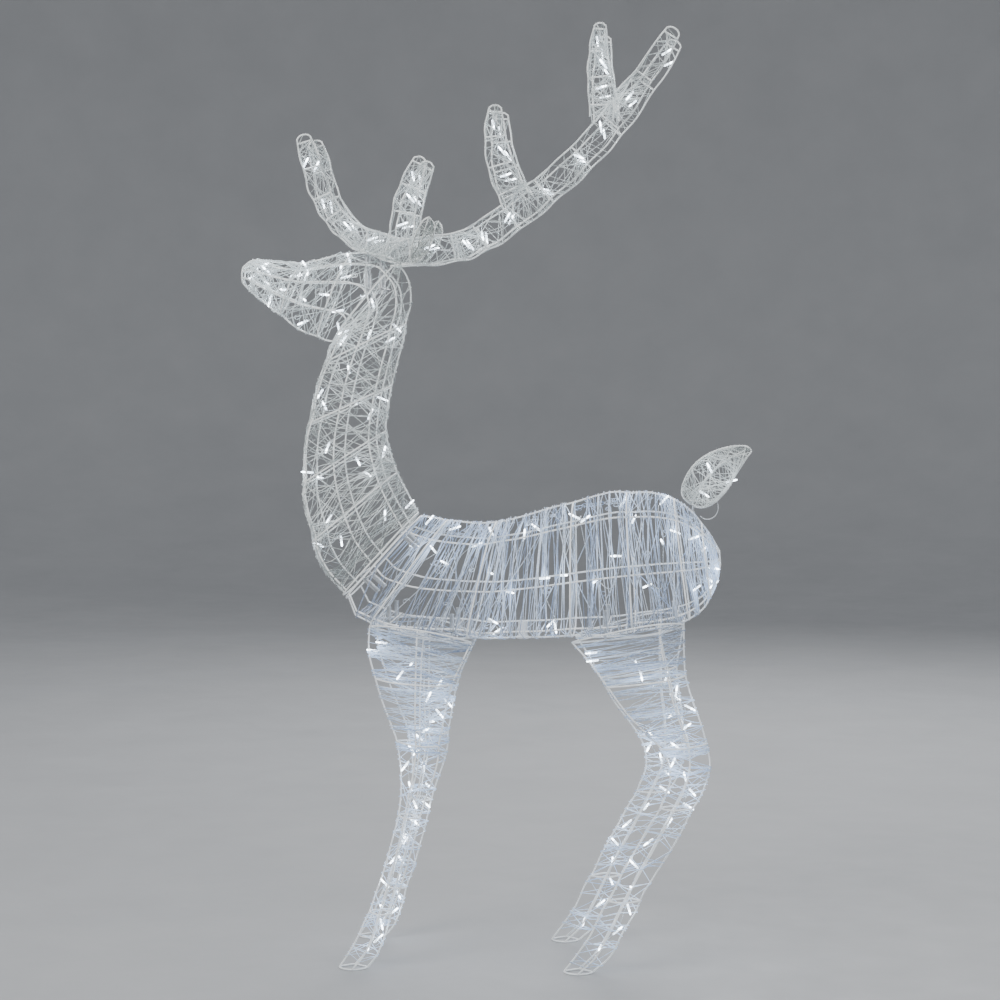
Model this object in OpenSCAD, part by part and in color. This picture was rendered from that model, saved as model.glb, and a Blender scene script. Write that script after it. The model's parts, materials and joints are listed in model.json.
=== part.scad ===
// Standing reindeer of welded wire cages wound with clear thread and set with LED lamps.
// It faces -X, its left side is -Y, and its soles stand on z = 0.

/* [Wire] */
// Diameter of the coated steel wire
wire_d = 4; // [3:0.5:5]
// Sides of each wire's section
wire_sides = 4; // [4:1:5]
// Thickness of the thread winding
winding_t = 1; // [0.8:0.1:1.2]
// Gap between the wire and the winding around it
winding_gap = 0.4; // [0.3:0.1:0.6]

/* [Stance] */
// Distance from the middle plane to the middle of a sole
foot_y = 129; // [110:1:140]
// Distance from the middle plane to the middle of a leg's top
leg_top_y = 58; // [54:1:62]
// How far the right hind leg stands ahead of the left one
hind_step = 50; // [0:5:60]

/* [Plug-in joints] */
// Diameter of the pins on the removable sections
pin_d = 5; // [4:0.5:6]
// Radial clearance of a pin in its socket tube
pin_fit = 0.08; // [0.05:0.01:0.1]
// Outer diameter of a socket tube
socket_d = 9; // [8:0.5:10]
// Length of a leg's socket tubes
leg_reach = 34; // [30:1:38]
// Length of the neck's pins and socket tubes
neck_reach = 36; // [30:1:40]
// Length of an antler's socket tubes
antler_reach = 40; // [36:1:42]
// Length of the tail's socket tube
tail_reach = 30; // [24:1:34]

/* [Antlers] */
// Distance from the middle plane to an antler's root
antler_y = 34; // [30:1:38]
// Outward lean of an antler
antler_lean = 8.5; // [5:0.5:10]
// Height of an antler's lowest point
antler_z = 1340; // [1338:1:1342]

/* [Lights] */
// Diameter of a lamp's holder
lamp_d = 5.2; // [4:0.2:6]
// Length of a lamp with its holder
lamp_len = 24; // [18:1:26]
// Diameter of the light string's lead
lead_d = 2; // [1.6:0.1:2.4]

/* [Hidden] */

wire_r = wire_d / 2;
weld = 0.6;                                  // how deep two welded wires run into each other
skin_in = wire_r + winding_gap;
skin_out = skin_in + winding_t;
pin_r = pin_d / 2;
bore_r = pin_r + pin_fit;
socket_r = socket_d / 2;
lead_r = lead_d / 2;
sole_z = wire_r * (1 + cos(180 / wire_sides)) / 2;   // height of the sole wire's middle on its flat side

// A station is [front x, z, rear x, z, half width, shape]: the two wires in the middle plane, the
// half width of the section there, and a number from 0 to 1 that moves its side wires.

// Trunk, from the slanted ring at the neck to the rump; the wires run along its back and belly.
BODY = [
    [-144, 856, -287, 697, 84, 0],
    [-105, 850, -262, 652, 94, 0],
    [-60, 843, -170, 632, 100, 0],
    [0, 844, -50, 622, 102, 0],
    [70, 860, 60, 622, 102, 0],
    [150, 884, 150, 625, 104, 0],
    [230, 902, 240, 631, 104, 0],
    [300, 902, 330, 645, 100, 0],
    [358, 883, 388, 668, 84, 0],
    [402, 836, 418, 712, 54, 0],
    [430, 792, 432, 764, 14, 0],
];

// Neck and head, from the slanted ring to the nose; nape and crown first, throat and jaw second.
NECK = [
    [-149, 861, -292, 702, 84, 0],
    [-172, 903, -335, 752, 82, 0],
    [-194, 950, -357, 815, 79, 0],
    [-209, 1000, -371, 882, 76, 0],
    [-211, 1040, -373, 945, 73, 0],
    [-202, 1095, -365, 1015, 69, 0],
    [-187, 1160, -350, 1085, 64, 0],
    [-172, 1225, -332, 1145, 59, 0.1],
    [-163, 1285, -314, 1190, 55, 0.3],
    [-188, 1343, -313, 1190, 54, 0.7],
    [-235, 1358, -320, 1191, 52, 1],
    [-277, 1361, -345, 1199, 50, 1],
    [-315, 1354, -378, 1213, 46, 1],
    [-358, 1344, -405, 1232, 41, 1],
    [-400, 1341, -434, 1256, 36, 1],
    [-438, 1345, -460, 1275, 31, 1],
    [-470, 1347, -480, 1293, 25, 1],
    [-488, 1336, -490, 1302, 16, 1],
];
HEAD_START = 9;                              // the station where the head's winding begins

// Legs, from the top ring to the sole; front wire first, rear wire second.
FRONT_LEG = [
    [-238, 647, -40, 617, 50, 0.5],
    [-237, 592, -60, 577, 48, 0.54],
    [-222, 535, -80, 525, 43, 0.56],
    [-203, 485, -92, 475, 38, 0.54],
    [-183, 430, -100, 420, 33, 0.5],
    [-174, 380, -107, 375, 30, 0.43],
    [-173, 330, -124, 325, 27, 0.36],
    [-180, 280, -138, 275, 25, 0.36],
    [-193, 225, -152, 222, 24, 0.4],
    [-210, 165, -170, 160, 24, 0.44],
    [-232, 108, -188, 104, 24, 0.5],
    [-252, 60, -202, 58, 25, 0.56],
    [-270, 28, -214, 28, 26, 0.56],
    [-288, 1.6, -234, 1.6, 22, 0.5],
];
HIND_LEG = [
    [150, 619, 364, 655, 50, 0.78],
    [188, 578, 364, 600, 46, 0.78],
    [222, 530, 369, 555, 42, 0.78],
    [262, 480, 383, 505, 37, 0.72],
    [302, 440, 400, 460, 33, 0.65],
    [330, 408, 412, 415, 30, 0.56],
    [340, 375, 412, 375, 28, 0.47],
    [332, 335, 396, 335, 27, 0.44],
    [308, 292, 375, 295, 25, 0.45],
    [283, 245, 350, 247, 24, 0.47],
    [253, 193, 317, 195, 23, 0.5],
    [222, 135, 286, 138, 22, 0.52],
    [193, 75, 253, 80, 23, 0.56],
    [166, 35, 228, 32, 25, 0.55],
    [140, 1.6, 194, 1.6, 22, 0.5],
];

// Antler branches in the antler's own plane: [x, height above the root, half width] from base to tip.
BEAM = [
    [-200, 16, 22], [-118, 25, 27], [-60, 34, 26], [-20, 54, 25], [30, 88, 25], [83, 129, 25],
    [145, 182, 24], [200, 238, 23], [243, 290, 22], [303, 373, 18], [336, 424, 15],
];
BROW = [
    [-192, 28, 20], [-224, 38, 22], [-262, 49, 22], [-291, 73, 21], [-313, 101, 20], [-331, 139, 20],
    [-346, 193, 18], [-357, 232, 15],
];
BEZ = [[-178, 34, 22], [-174, 68, 23], [-167, 115, 22], [-154, 156, 18], [-139, 190, 14]];
TINE_LOW = [[42, 122, 27], [24, 160, 27], [11, 202, 24], [5, 250, 19], [6, 286, 13]];
TINE_HIGH = [[208, 276, 24], [205, 322, 24], [201, 362, 21], [201, 404, 16], [204, 436, 12]];
BRANCHES = [BEAM, BROW, BEZ, TINE_LOW, TINE_HIGH];

// Leaf outlines in the plane of the tail and of an ear, as [x, z] round the loop from the stem.
TAIL = [
    [377, 879], [358, 898], [364, 930], [388, 963], [425, 984], [466, 992],
    [489, 984], [466, 952], [447, 914], [420, 884], [396, 874],
];
EAR = [[-158, 1338], [-153, 1375], [-138, 1412], [-119, 1431], [-110, 1404], [-124, 1364], [-146, 1340]];
EAR_Y = 44;                                  // distance from the middle plane to an ear's stem
EAR_LEAN = 20;

// Lamp counts of each section.
BODY_LAMPS = 46;
NECK_LAMPS = 44;
LEG_LAMPS = 17;
BRANCH_LAMPS = [9, 4, 3, 3, 3];
LAMP_TURN = 1.37;                            // corners of the section from one lamp to the next

// The tail's slack lead, from the leaf's stem down and back to the rump.
TAIL_LEAD = [
    [417, 5.5, 891], [423, 6.5, 888], [426, 7.5, 881], [427, 8, 874], [426, 8.5, 867], [423, 9, 860],
    [418, 9, 855], [412, 9, 852], [405, 8.5, 851], [398, 8, 853], [393, 7, 857],
];

// ---- curves ----

function unit(v) = v / norm(v);
function mixed(a, b, t) = a + (b - a) * t;

// Point at t between p1 and p2 of a smooth curve that passes through every point.
function smooth(p0, p1, p2, p3, t) =
    0.5 * (2 * p1 + (p2 - p0) * t + (2 * p0 - 5 * p1 + 4 * p2 - p3) * t * t
    + (3 * p1 - p0 - 3 * p2 + p3) * t * t * t);

// Value at u of a list read as a smooth open curve; u counts from 0 to the last index.
function along(list, u) =
    let (last = len(list) - 1, i = min(floor(u), last - 1), t = u - i)
    smooth(list[max(i - 1, 0)], list[i], list[i + 1], list[min(i + 2, last)], t);

// The same for a closed loop, where u runs from 0 to the number of points.
function around(list, u) =
    let (n = len(list), i = floor(u), t = u - i)
    smooth(list[(i + n - 1) % n], list[i % n], list[(i + 1) % n], list[(i + 2) % n], t);

function steps(from, to, n) = [for (i = [0:n]) from + (to - from) * i / n];

// ---- sections of the trunk, neck and legs ----

// Eight corners round a section as [share of the half height, share of the half width].
function trunk_ring(m) =
    let (shoulder = [0.68 + 0.06 * m, 0.75 - 0.13 * m], flank = [0.43 * m - 0.13, 1],
         low = [0.46 * m - 0.82, 0.93 - 0.05 * m])
    [[1, 0], shoulder, flank, low, [-1, 0],
     [low[0], -low[1]], [flank[0], -flank[1]], [shoulder[0], -shoulder[1]]];

// The four wires of a leg stand at corners 0, 2, 4 and 6; the rings bulge a little between them.
function leg_ring(m) =
    let (side = 1 - 2 * m, bulge = 0.62)
    [[1, 0], [mixed(side, 1, bulge), bulge], [side, 1], [mixed(side, -1, bulge), bulge], [-1, 0],
     [mixed(side, -1, bulge), -bulge], [side, -1], [mixed(side, 1, bulge), -bulge]];

// A section is [stations, is it a leg, side, lateral place of its top, of its foot, lean].
TRUNK = [BODY, false, 1, 0, 0, 0];
THROAT = [NECK, false, 1, 0, 0, 0];
LEG_LEAN = 14;                               // how much higher a leg's top ring stands on its outer side
function leg(stations, side) = [stations, true, side, leg_top_y, foot_y, LEG_LEAN];

// Corner k of a section at u, moved outward by out.
function corner(section, u, k, out = 0) =
    let (
        s = along(section[0], u),
        ring = (section[1] ? leg_ring(s[5]) : trunk_ring(s[5]))[k % 8],
        upper = [s[0], s[1]], lower = [s[2], s[3]],
        middle = (upper + lower) / 2, half = (upper - lower) / 2,
        grown = half * (1 + out * 1.06 / norm(half)),
        across = ring[1] * (s[4] + out * 1.06),
        xz = middle + grown * ring[0],
        down = 1 - max(0, min(1, s[1] / section[0][0][1])),
        tilt = section[5] * (1 - min(1, u)) * ring[1],
        y = section[1] ? mixed(section[3], section[4], down) + across : across
    ) [xz[0], section[2] * y, xz[1] + tilt];

function middle_of(section, u) = (corner(section, u, 0) + corner(section, u, 4)) / 2;
function heading(section, u) =
    let (last = len(section[0]) - 1)
    unit(middle_of(section, min(u + 0.1, last)) - middle_of(section, max(u - 0.1, 0)));

// ---- solids ----

// One round of points about a path's point, square to its direction.
// A wire's corners lie a little outside its true circle and its sides a little inside.
function corner_r(r, sides) = r * (1 + 1 / cos(180 / sides)) / 2;
function round_at(p, dir, ref, r, sides) =
    let (n = unit(cross(dir, ref)), b = cross(n, dir), c = corner_r(r, sides))
    [for (k = [0:sides - 1]) let (a = 360 * (k + 0.5) / sides - 90) p + c * (n * cos(a) - b * sin(a))];

function direction(path, i, closed) =
    let (n = len(path), a = closed ? path[(i + n - 1) % n] : path[max(i - 1, 0)],
         c = closed ? path[(i + 1) % n] : path[min(i + 1, n - 1)], b = path[i])
    (closed || (i > 0 && i < n - 1)) ? unit(unit(b - a) + unit(c - b)) : unit(c - a);

// A wire along a path. ref is never parallel to the path; it is one direction, or one for each point.
module wire(path, ref, r = wire_r, sides = wire_sides, closed = false) {
    n = len(path);
    refs = is_list(ref[0]) ? ref : [for (p = path) ref];
    points = [for (i = [0:n - 1]) each round_at(path[i], direction(path, i, closed), refs[i], r, sides)];
    turns = closed ? n : n - 1;
    walls = [for (i = [0:turns - 1]) for (k = [0:sides - 1])
        let (a = i * sides, b = ((i + 1) % n) * sides, j = (k + 1) % sides)
        each [[a + k, b + k, b + j], [a + k, b + j, a + j]]];
    caps = closed ? [] : [[for (k = [0:sides - 1]) k],
                          [for (k = [sides - 1:-1:0]) (n - 1) * sides + k]];
    polyhedron(points, concat(walls, caps));
}

// Wires that cross are welded into one piece.
module welded() { resize([0, 0, 0]) children(); }

// A closed shell between two lofts of the same section, open at both ends like a sleeve.
module sleeve(section, from, to, count) {
    us = steps(from, to, count);
    m = count + 1;
    points = concat(
        [for (u = us) for (k = [0:7]) corner(section, u, k, skin_out)],
        [for (u = us) for (k = [0:7]) corner(section, u, k, skin_in)]);
    inner = m * 8;
    flip = section[2] < 0;
    walls = [for (i = [0:count - 1]) for (k = [0:7])
        let (j = (k + 1) % 8, a = i * 8 + k, b = i * 8 + j, c = a + 8, d = b + 8)
        each [[a, b, d], [a, d, c],
              [inner + a, inner + d, inner + b], [inner + a, inner + c, inner + d]]];
    rims = [for (k = [0:7])
        let (j = (k + 1) % 8, e = count * 8)
        each [[k, inner + k, inner + j], [k, inner + j, j],
              [e + k, e + j, inner + e + j], [e + k, inner + e + j, inner + e + k]]];
    faces = concat(walls, rims);
    polyhedron(points, flip ? [for (f = faces) [f[2], f[1], f[0]]] : faces);
}

// Lengthwise wires of a section and its ribs at the given stations.
module cage(section, corners, from, to, count, ribs) {
    welded() {
        for (k = corners)
            wire([for (u = steps(from, to, count)) corner(section, u, k)], [0.02, 1, 0.01]);
        for (u = ribs)
            wire([for (k = [0:7]) corner(section, u, k, weld - wire_r)], heading(section, u), closed = true);
    }
}

// ---- lamps and leads ----

module lamp() {
    tip = lamp_len / 2;
    r = lamp_d / 2;
    rotate_extrude($fn = 20)
        polygon([[0, -tip], [r, -tip], [r, tip - 8], [r - 0.5, tip - 7], [r - 0.5, tip - 2], [0, tip]]);
}

module aimed(place, dir) {
    translate(place) rotate([0, acos(dir[2]), atan2(dir[1], dir[0])]) children();
}

// Lamp i of a section as [place, direction]; it winds round the cage and leans as if hung by hand.
function lamp_at(section, i, count, from, to, turn) =
    let (
        u = mixed(from, to, (i + 0.5) / count),
        k = (i * turn) % 8,
        edge = k - floor(k),
        place = mixed(corner(section, u, floor(k), -7), corner(section, u, floor(k) + 1, -7), edge),
        out = unit(place - middle_of(section, u)),
        lean = heading(section, u) * 1.5 * sin(i * 137.5)
    ) [place, unit(out + lean)];

module lamps(list) {
    for (l = list) aimed(l[0], l[1]) lamp();
}

// A direction square to an open path at point i, carried along it from the start without twist.
function carried(path, i) =
    let (d = direction(path, i, false),
         before = i == 0 ? (abs(d[2]) < 0.9 ? [0, 0, 1] : [1, 0, 0]) : carried(path, i - 1))
    unit(before - d * (before * d));

// A path whose sharp corners are made square, so that a tube keeps its width there.
function squared(path) =
    [for (i = [0:len(path) - 1])
        let (inner = i > 0 && i < len(path) - 1,
             arrive = inner ? unit(path[i] - path[i - 1]) : [1, 0, 0],
             leave = inner ? unit(path[i + 1] - path[i]) : [1, 0, 0],
             across = unit(arrive + leave))
        each arrive * leave < 0 ? [path[i] - across * 2, path[i] + across * 2] : [path[i]]];

// The lead joins the inner ends of the lamps in turn.
module lead(list) {
    path = squared([for (l = list) l[0] - l[1] * (lamp_len / 2 + lead_r)]);
    wire(path, [for (i = [0:len(path) - 1]) carried(path, i)], r = lead_r);
}

// ---- trunk ----

function body_lamp_list() =
    [for (i = [0:BODY_LAMPS - 1])
        let (l = lamp_at(TRUNK, i, BODY_LAMPS, 0.5, 9.4, LAMP_TURN), between_legs = abs(l[0][0] - 52) < 70,
             at_tail = norm(l[0] - TAIL_FOOT) < 32)
        if ((between_legs || l[0][2] > 712) && !at_tail) l];

module body_cage() {
    color("gainsboro")
        cage(TRUNK, [0:7], 0, 10, 13, [0, 1.3, 3, 5, 6.3, 7.7, 8.8, 10]);
}

module body_winding() {
    color("aliceblue") resize([0, 0, 0]) difference() {
        sleeve(TRUNK, 0.12, 9.85, 10);
        for (side = [-1, 1]) for (x = leg_pin_xs)
            translate([x, side * leg_top_y, 600]) cylinder(h = 80, r = 9, $fn = 12);
        tail_line() translate([0, 0, -30]) cylinder(h = 60, r = 9, $fn = 12);
        translate([INLET[0], INLET[1], 600]) cylinder(h = 50, r = 13, $fn = 12);
    }
}

module body_lamps() { color("white") lamps(body_lamp_list()); }
module body_lead() { color("ghostwhite") lead(body_lamp_list()); }

// ---- neck and head ----

function neck_lamp_list() =
    [for (i = [0:NECK_LAMPS - 1])
        let (l = lamp_at(THROAT, i, NECK_LAMPS, 0.4, 16.2, LAMP_TURN),
             at_antlers = abs(l[0][0] + 228) < 42 && l[0][2] > 1300)
        if (!at_antlers) l];

module neck_and_head_cage() {
    color("gainsboro")
        cage(THROAT, [0:7], 0, 17, 20, [0, 1.8, 3.5, 5.2, 7, 9, 11, 13.4, 17]);
}
module neck_winding() { color("whitesmoke") sleeve(THROAT, 0.12, HEAD_START - 0.1, 11); }
module head_winding() {
    color("whitesmoke") resize([0, 0, 0]) difference() {
        sleeve(THROAT, HEAD_START + 0.1, 16.9, 8);
        for (side = [-1, 1]) for (x = antler_pin_xs)
            translate([x, side * antler_pin_y, 1270]) cylinder(h = 110, r = 8, $fn = 12);
    }
}
module neck_and_head_lamps() { color("white") lamps(neck_lamp_list()); }
module neck_and_head_lead() { color("ghostwhite") lead(neck_lamp_list()); }

// ---- ears ----

module ear_place(side) {
    translate([0, side * EAR_Y, EAR[0][1]]) rotate([-side * EAR_LEAN, 0, 0])
        translate([0, 0, -EAR[0][1]]) children();
}
function leaf(outline, count) = [for (i = [0:count - 1]) around(outline, i * len(outline) / count)];
function flat(points) = [for (p = points) [p[0], 0, p[1]]];

module ear_frame(side) {
    color("gainsboro") ear_place(side) welded() {
        wire(flat(leaf(EAR, 14)), [0, 1, 0], closed = true);
        wire([[-157, 0, 1338], [-135, 0, 1385], [-119, 0, 1431]], [0, 1, 0]);
    }
}
// Two thin faces of thread, one on each side of a flat frame.
module leaf_winding(points) {
    for (face = [-1, 1])
        translate([0, face * (skin_in + winding_t / 2) + winding_t / 2, 0]) rotate([90, 0, 0])
            linear_extrude(winding_t) polygon(points);
}
module ear_winding(side) { color("whitesmoke") ear_place(side) leaf_winding(leaf(EAR, 12)); }

// ---- antlers ----

antler_pin_xs = [-246, -218];
antler_pin_y = 24;
ANTLER_BASE = [[-256, 22], [-205, 4], [-150, -2]];   // the bar under an antler's root, in its own plane

module antler_place(side) {
    translate([0, side * antler_y, antler_z]) rotate([-side * antler_lean, 0, 0]) children();
}

// Point beside a branch's middle line, on its left (+1) or right (-1) side.
function beside(branch, u, side, inset = 0) =
    let (last = len(branch) - 1, p = along(branch, u), a = along(branch, max(u - 0.1, 0)),
         b = along(branch, min(u + 0.1, last)), d = unit([b[0] - a[0], b[1] - a[1]]),
         w = side * (p[2] - inset))
    [p[0] - d[1] * w, p[1] + d[0] * w];

// The outline of a branch: up one side, round its tip and down the other.
function branch_outline(branch, count) =
    let (last = len(branch) - 1, us = steps(0, last, count), end = branch[last],
         before = branch[last - 1], d = unit([end[0] - before[0], end[1] - before[1]]), r = end[2])
    concat(
        [for (u = us) beside(branch, u, 1)],
        [for (a = [60, 20, -20, -60])
            [end[0] - d[1] * r * sin(a) + d[0] * r * cos(a) * 0.8,
             end[1] + d[0] * r * sin(a) + d[1] * r * cos(a) * 0.8]],
        [for (i = [count:-1:0]) beside(branch, us[i], -1)]);

// Rungs across a branch, about as far apart as it is wide.
function rungs(branch) = let (n = len(branch)) steps(0.5, n - 1.15, round((n - 1) * 0.8));

module antler_cage(side) {
    color("gainsboro") antler_place(side) welded() {
        for (branch = BRANCHES) {
            wire(flat(branch_outline(branch, len(branch) - 1)), [0, 1, 0]);
            for (u = rungs(branch))
                wire(flat([beside(branch, u, 1, weld), beside(branch, u, -1, weld)]), [0, 1, 0]);
        }
        wire(flat(ANTLER_BASE), [0, 1, 0]);
    }
}

module antler_winding(side) {
    color("whitesmoke") antler_place(side)
        for (branch = BRANCHES) leaf_winding(branch_outline(branch, len(branch) - 1));
}

// Lamps stand across the strip, on alternate faces.
function branch_lamp_list(branch, count) =
    [for (i = [0:count - 1])
        let (u = mixed(0.4, len(branch) - 1.1, (i + 0.5) / count), p = along(branch, u),
             face = i % 2 == 0 ? 1 : -1)
        [[p[0] + 9 * sin(i * 100), face * 4, p[1] + 6 * cos(i * 70)],
         unit([cos(i * 137), face * 0.5, sin(i * 137) + 0.3])]];
function antler_lamp_list() =
    [for (b = [0:4]) each branch_lamp_list(BRANCHES[b], BRANCH_LAMPS[b])];

module antler_lamps(side) { color("white") antler_place(side) lamps(antler_lamp_list()); }

// The lead follows each branch's middle on the inner face, in and out again.
module antler_lead(side) {
    inner = -side * (skin_out + lead_r + 1);
    color("ghostwhite") antler_place(side) welded()
        for (branch = BRANCHES)
            wire([for (u = steps(0, len(branch) - 1.1, len(branch))) let (p = along(branch, u))
                [p[0], inner, p[1] + 8 * sin(u * 180)]], [0, 1, 0], r = lead_r);
}

// ---- legs ----

RIBS_FRONT = [0, 1.8, 4, 6.8, 10];
RIBS_HIND = [0, 1.9, 4.6, 7.6, 11];

module leg_cage(section, ribs) {
    last = len(section[0]) - 1;
    color("gainsboro") welded() {
        for (k = [0:2:6])
            wire([for (u = steps(0, last - 0.08, 15)) corner(section, u, k)], [0.02, 1, 0.01]);
        for (u = ribs)
            wire([for (k = [0:7]) corner(section, u, k, weld - wire_r)], heading(section, u), closed = true);
        wire([for (k = [0:7]) let (p = corner(section, last, k)) [p[0], p[1], sole_z]],
             [0, 0, section[2]], closed = true);
    }
}
module leg_winding(section) {
    color("aliceblue") sleeve(section, 0.14, len(section[0]) - 1.3, 11);
}
function leg_lamp_list(section) =
    [for (i = [0:LEG_LAMPS - 1]) lamp_at(section, i, LEG_LAMPS, 0.5, len(section[0]) - 1.9, LAMP_TURN)];
module leg_lamps(section) { color("white") lamps(leg_lamp_list(section)); }
module leg_lead(section) { color("ghostwhite") lead(leg_lamp_list(section)); }

FRONT_LEFT = leg(FRONT_LEG, -1);
FRONT_RIGHT = leg(FRONT_LEG, 1);
HIND_LEFT = leg(HIND_LEG, -1);
// The right hind leg is bent further forward, most at the hock.
HIND_RIGHT = leg([for (i = [0:len(HIND_LEG) - 1])
    let (s = HIND_LEG[i], ahead = hind_step * min(1, i * 0.2) * (1 - 0.2 * max(0, i - 7) / 7))
    [s[0] - ahead, s[1], s[2] - ahead, s[3], s[4], s[5]]], 1);

// The bars across a leg's top ring join these corners of it; a pin stands at the middle of each.
LEG_BARS = [[1, 7], [3, 5]];
function bar_end(section, k) = corner(section, 0, k, weld - wire_r);
leg_pin_xs = [for (section = [FRONT_LEFT, HIND_LEFT]) for (bar = LEG_BARS) bar_end(section, bar[0])[0]];

// Height and half width of the trunk between its low side wires, at x.
LOW_WIRE = [for (u = steps(0, 10, 60)) corner(TRUNK, u, 3)];
function low_z(x) = lookup(x, [for (p = LOW_WIRE) [p[0], p[2]]]);
function low_y(x) = lookup(x, [for (p = LOW_WIRE) [p[0], p[1]]]);
function tube_foot(x) = low_z(x) - 6;
leg_grip = leg_reach - 6;                    // how far a leg's pins reach into their tubes

module leg_pins(section) {
    color("silver") for (bar = LEG_BARS) {
        a = bar_end(section, bar[0]);
        b = bar_end(section, bar[1]);
        foot = (a + b) / 2;
        aimed(a, unit(b - a)) cylinder(h = norm(b - a), r = wire_r);
        translate(foot) cylinder(h = tube_foot(foot[0]) + leg_grip - foot[2], r = pin_r);
    }
}

// A tube with a bore for a pin, standing on its place.
module socket_tube(h) {
    difference() {
        cylinder(h = h, r = socket_r);
        translate([0, 0, -1]) cylinder(h = h + 2, r = bore_r);
    }
}
// Distance from a tube's middle to the middle of the bar welded beside it.
bar_off = socket_r + wire_r - 0.4;
// A bar of the given half length along Y.
module cross_bar(half) { translate([0, -half, 0]) rotate([-90, 0, 0]) cylinder(h = 2 * half, r = wire_r); }

// Socket tubes for the legs, on bars between the low side wires of the trunk.
module leg_sockets() {
    color("silver") for (x = leg_pin_xs) {
        for (side = [-1, 1]) translate([x, side * leg_top_y, tube_foot(x)]) socket_tube(leg_reach);
        translate([x + bar_off, 0, low_z(x + bar_off)]) cross_bar(low_y(x + bar_off));
    }
}

// ---- neck joint ----

NECK_TILT = -47.7;                           // turns +Z onto the normal of the slanted rings
// Each cross bar of the neck joint as [place along the ring, half length, place of its tubes].
neck_bars = [[58, 65, 34], [-52, 81, 50]];
neck_lift = 6;                               // distance from the joint to the bars of the neck's pins

// Places its children at the middle of the slanted joint, with +Z along the neck.
module neck_line() { translate([-217, 0, 779]) rotate([0, NECK_TILT, 0]) children(); }

module neck_sockets() {
    color("silver") neck_line() for (bar = neck_bars) {
        for (y = [-bar[2], bar[2]]) translate([bar[0], y, -neck_reach - neck_lift]) socket_tube(neck_reach);
        translate([bar[0] + bar_off, 0, -8]) cross_bar(bar[1]);
    }
}
module neck_pins() {
    color("silver") neck_line() for (bar = neck_bars) {
        for (y = [-bar[2], bar[2]])
            translate([bar[0], y, neck_lift - neck_reach]) cylinder(h = neck_reach, r = pin_r);
        translate([bar[0], 0, neck_lift]) cross_bar(bar[1]);
    }
}

// ---- antler joints ----

antler_tube_top = 1322;
// The head's flank wire, from the cheek to the muzzle.
FLANK = [for (u = steps(9.4, 13, 24)) corner(THROAT, u, 2)];
function flank_z(x) = lookup(x, [for (p = FLANK) [p[0], p[2]]]);
function flank_y(x) = lookup(x, [for (p = FLANK) [p[0], p[1]]]);

module antler_sockets() {
    color("silver") for (x = antler_pin_xs) {
        for (side = [-1, 1]) translate([x, side * antler_pin_y, antler_tube_top - antler_reach])
            socket_tube(antler_reach);
        translate([x + bar_off, 0, flank_z(x + bar_off)]) cross_bar(flank_y(x + bar_off));
    }
}
// Each pin is joined to the bar under the antler's root by a short rod.
module antler_pins(side) {
    low = antler_tube_top + 4 - antler_reach;
    color("silver") for (x = antler_pin_xs) {
        root = lookup(x, ANTLER_BASE);
        top = antler_z + root * cos(antler_lean);
        translate([x, side * antler_pin_y, low]) cylinder(h = top - low, r = pin_r);
        translate([x, side * antler_pin_y, top]) rotate([-side * 90, 0, 0])
            cylinder(h = antler_y + root * sin(antler_lean) - antler_pin_y, r = wire_r);
    }
}

// ---- tail ----

// Top of the tail's socket, beside the trunk's back wire.
TAIL_FOOT = [378, 7, 866];
module tail_line() { translate(TAIL_FOOT) rotate([0, 10, 0]) children(); }

module tail_frame() {
    color("gainsboro") welded() {
        wire(flat(leaf(TAIL, 22)), [0, 1, 0], closed = true);
        wire([[377, 0, 880], [398, 0, 922], [430, 0, 956], [478, 0, 985]], [0, 1, 0]);
    }
}
module tail_winding() { color("whitesmoke") leaf_winding(leaf(TAIL, 20)); }
// Place and direction of each of the tail's lamps.
tail_lamp_list = [
    [[400, 4, 900], [0.6, 0.2, -0.4]],
    [[452, 4, 925], [0.9, 0.3, 0.2]],
    [[410, -4, 950], [-0.4, -0.3, 0.8]],
];
module tail_lamps() { color("white") for (l = tail_lamp_list) aimed(l[0], unit(l[1])) lamp(); }
module tail_loop_lead() { color("ghostwhite") wire(TAIL_LEAD, [0, 1, 0], r = 0.8, sides = 8); }

module tail_socket() { color("silver") tail_line() translate([0, 0, -tail_reach]) socket_tube(tail_reach); }
// The pin's top is joined to the foot of the leaf by a short rod.
module tail_pin() {
    color("silver") tail_line() {
        translate([0, 0, 3 - tail_reach]) cylinder(h = tail_reach + 10, r = pin_r);
        translate([0, 0, 12]) rotate([90, 0, 0]) cylinder(h = TAIL_FOOT[1], r = wire_r);
    }
}

// ---- supply inlet, under the belly ----

INLET = [52, 12, 628];                       // its rim rests on the belly wire
module supply_inlet() {
    color("white") translate(INLET) difference() {
        union() {
            translate([0, 0, -10]) cylinder(h = 34, r = 9);
            translate([0, 0, -10]) cylinder(h = 6, r = 11);
        }
        translate([0, 0, -11]) cylinder(h = 19, r = 6.5);
    }
}
module supply_inlet_contacts() {
    color("silver") translate(INLET) for (x = [-2.5, 2.5]) translate([x, 0, -6]) cylinder(h = 14, r = 0.8);
}

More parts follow.
